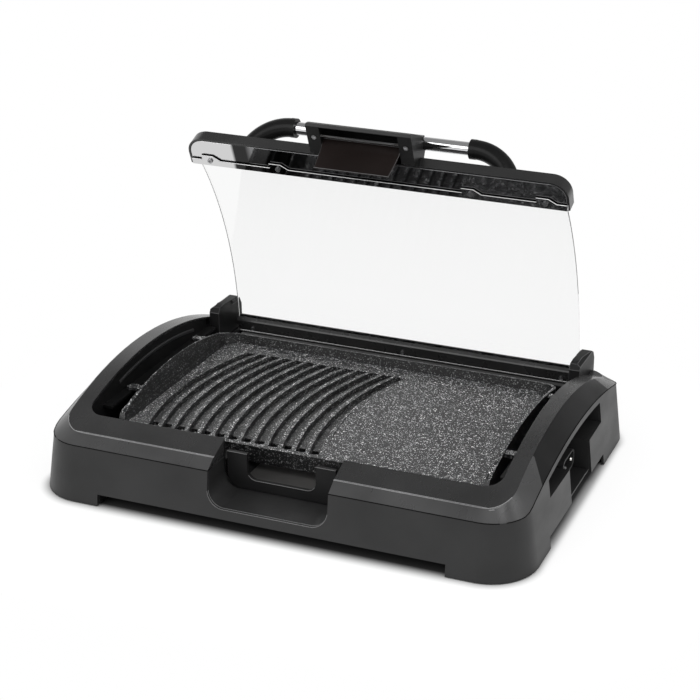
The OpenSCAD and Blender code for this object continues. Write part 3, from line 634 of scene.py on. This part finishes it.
def make_floor():
    s = Shader("floor_white", (0.90, 0.90, 0.90), 0.9, specular=0.1)
    glow = s.tree.nodes.new("ShaderNodeEmission")
    glow.inputs["Strength"].default_value = 1.0
    # distance outside the base's footprint
    apart = s.vector("ABSOLUTE", s.coord.outputs["Object"])
    beyond = s.vector("MAXIMUM", s.vector("SUBTRACT", apart, FOOTPRINT), (0.0, 0.0, 0.0))
    span = s.vector("LENGTH", beyond, result="Value")
    outside = s.math("SUBTRACT", span, CORNER)
    # the painted shadow's border is wider in front than at the sides
    share = s.math("DIVIDE", s.parts(beyond)["Y"], s.math("MAXIMUM", span, 0.001))
    width = s.math("ADD", s.math("MULTIPLY", share, 0.016), 0.010)
    glow_shadow_fade = s.remap(s.math("DIVIDE", outside, width), -0.12, 1.0, 0.0, 0.85)
    glow_shadow_fade.node.interpolation_type = "SMOOTHSTEP"
    away = s.remap(outside, 0.028, 0.20, 0.0, 1.0)
    # painted shadow: the floor is dark under the base and turns to plain white away from it
    under = s.remap(outside, -0.010, 0.012, 0.0, 1.0)
    s.color(s.mix(under, (0.04, 0.04, 0.04), (0.95, 0.95, 0.95)))
    mix = s.tree.nodes.new("ShaderNodeMixShader")
    s.link(s.math("MAXIMUM", glow_shadow_fade, away), mix.inputs[0])
    s.link(s.bsdf.outputs[0], mix.inputs[1])
    s.link(glow.outputs[0], mix.inputs[2])
    s.link(mix.outputs[0], s.tree.nodes["Material Output"].inputs["Surface"])
    bm = bmesh.new()
    bmesh.ops.create_grid(bm, x_segments=8, y_segments=8, size=6.0)
    mesh = bpy.data.meshes.new("floor")
    bm.to_mesh(mesh)
    bm.free()
    floor = bpy.data.objects.new("floor", mesh)
    bpy.context.scene.collection.objects.link(floor)
    floor.data.materials.append(s.mat)


# ------------------------------------------------------------------ scene

make_camera()
mats = make_materials()

dress("base", (("lower_shell", "housing_plastic", "shell", 0.8),
               ("tray_recess", "housing_plastic", "shell", 0.6),
               ("bottom_cover", "housing_plastic", "shell", 0.5),
               ("corner_feet", "housing_plastic", "shell", 0.8),
               ("grip_pocket", "housing_plastic", "shell", 0.5),
               ("inlet_pocket", "housing_plastic", "shell", 0.5)))
deck = soften("deck_frame", "base", mats["deck"], 0.8 * MM)
# painted light: the deck's front chamfer is a lighter copy of the deck plastic
facing(deck, mats["deck_band_lit"], deck_chamfer)
# painted shade: the rails' outer sides are a darker copy of the deck plastic
facing(deck, mats["deck_side_shade"], rail_side)

# the thin lines paint highlights along edges, and a painted shadow along the split between deck
# and shell
# node, name, body, slot, material, radius in mm and the edges that carry the line
for node, name, body, slot, key, radius, test in (
        ("deck_frame", "deck_crease_line", "base", "deck_plastic", "deck_crease_highlight", 0.45,
         deck_crease),
        ("deck_frame", "split_shadow_line", "base", "deck_plastic", "seam", 0.55, split_edge),
        ("drip_tray", "tray_edge_line", "tray", "housing_plastic", "tray_edge_highlight", 0.35,
         tray_edge_highlight),
        ("tray_recess", "notch_edge_line", "base", "housing_plastic", "tray_edge_highlight", 0.4,
         notch_edge),
        ("lower_shell", "shell_notch_line", "base", "housing_plastic", "tray_edge_highlight", 0.4,
         notch_edge),
        # painted highlight along the clamp strip's edge
        ("clamp_strip", "clamp_edge_line", "lid", "housing_plastic", "edge", 0.4, clamp_edge),
        ("drip_tongue", "tongue_edge_line", "lid", "gloss_plastic", "tray_edge_highlight", 0.35,
         tongue_edge)):
    ridge(node, name, body, mats[key], radius * MM, test)

dress("base", (("deck_liner", "housing_plastic", "liner", 0.8),))
# the posts' rounded edges get a painted highlight
for node in ("hinge_post_left", "hinge_post_right"):
    soften(node, "base", mats["post"], 1.0 * MM, edge=mats["shell_edge_highlight"])
dress("base", (("inlet_shroud", "housing_plastic", "shell", 0.5),
               ("grill_plate", "plate_coating", "coating", 0.9)))
# painted light on the tray's upward floor faces
facing(soften("drip_tray", "tray", mats["tray"], 0.9 * MM), mats["pan_lit"],
       lambda at, normal: normal.z > 0.9 and at.z < 45.0)
# painted highlight on the trim's rounded edges
soften("front_trim", "lid", mats["gloss"], 0.8 * MM, edge=mats["shell_edge_highlight"])
dress("lid", (("inner_panel", "gloss_plastic", "mirror", 0.4),))
# painted shade on the clamp strip's face towards the lid's front edge
facing(soften("clamp_strip", "lid", mats["mirror"], 0.2 * MM),
       mats["hollow"], lambda at, normal: normal.dot(LID_UP) > 0.6)
dress("lid", (("rear_rail", "housing_plastic", "rail", 0.8),))
grip = soften("grip_box", "lid", mats["box"], 0.9 * MM, segments=3)
# painted shade inside the grip's mouth
recolour(grip, mats["hollow"], in_mouth)
# painted shade on the grip's sides
facing(grip, mats["box_side_shade"], lambda at, normal: abs(normal.x) > 0.9)
# painted highlight on the tongue's rounded edges and on its front lip
tongue = soften("drip_tongue", "lid", mats["tongue"], 0.4 * MM,
                edge=mats["tray_edge_highlight"])
facing(tongue, mats["tray_edge_highlight"], tongue_lip)
dress("lid", (("horn_left", "gloss_plastic", "horn", 0.0),
              ("horn_right", "gloss_plastic", "horn", 0.0),
              ("handle_tube", "tube_chrome", "chrome", 0.0),
              ("lid_glass", "clear_glass", "glass", 0.8)))
# painted shade on the front pin
recolour(soften("terminal_pins", "base", mats["pin"], 0.3 * MM),
         mats["pin_dark"], lambda at: at.y < 10.0)
make_bead("liner_bead_left", -1.0)
make_bead("liner_bead_right", 1.0)
for node, key in (("rubber_feet", "rubber"), ("base_screws", "screw"),
                  ("heat_reflector", "sheet"), ("drip_channel", "sheet"),
                  ("heating_element", "sheath"), ("element_clips", "sheet"),
                  ("probe_guide", "pin"), ("glass_gasket", "seal"), ("hinge_pins", "pin"),
                  ("rail_screw_set", "screw"), ("lid_screw_set", "screw_dark"),
                  ("box_screws", "screw")):
    paint(node, mats[key])

make_world()
make_floor()
make_lights()
bpy.context.scene.view_settings.view_transform = "Standard"
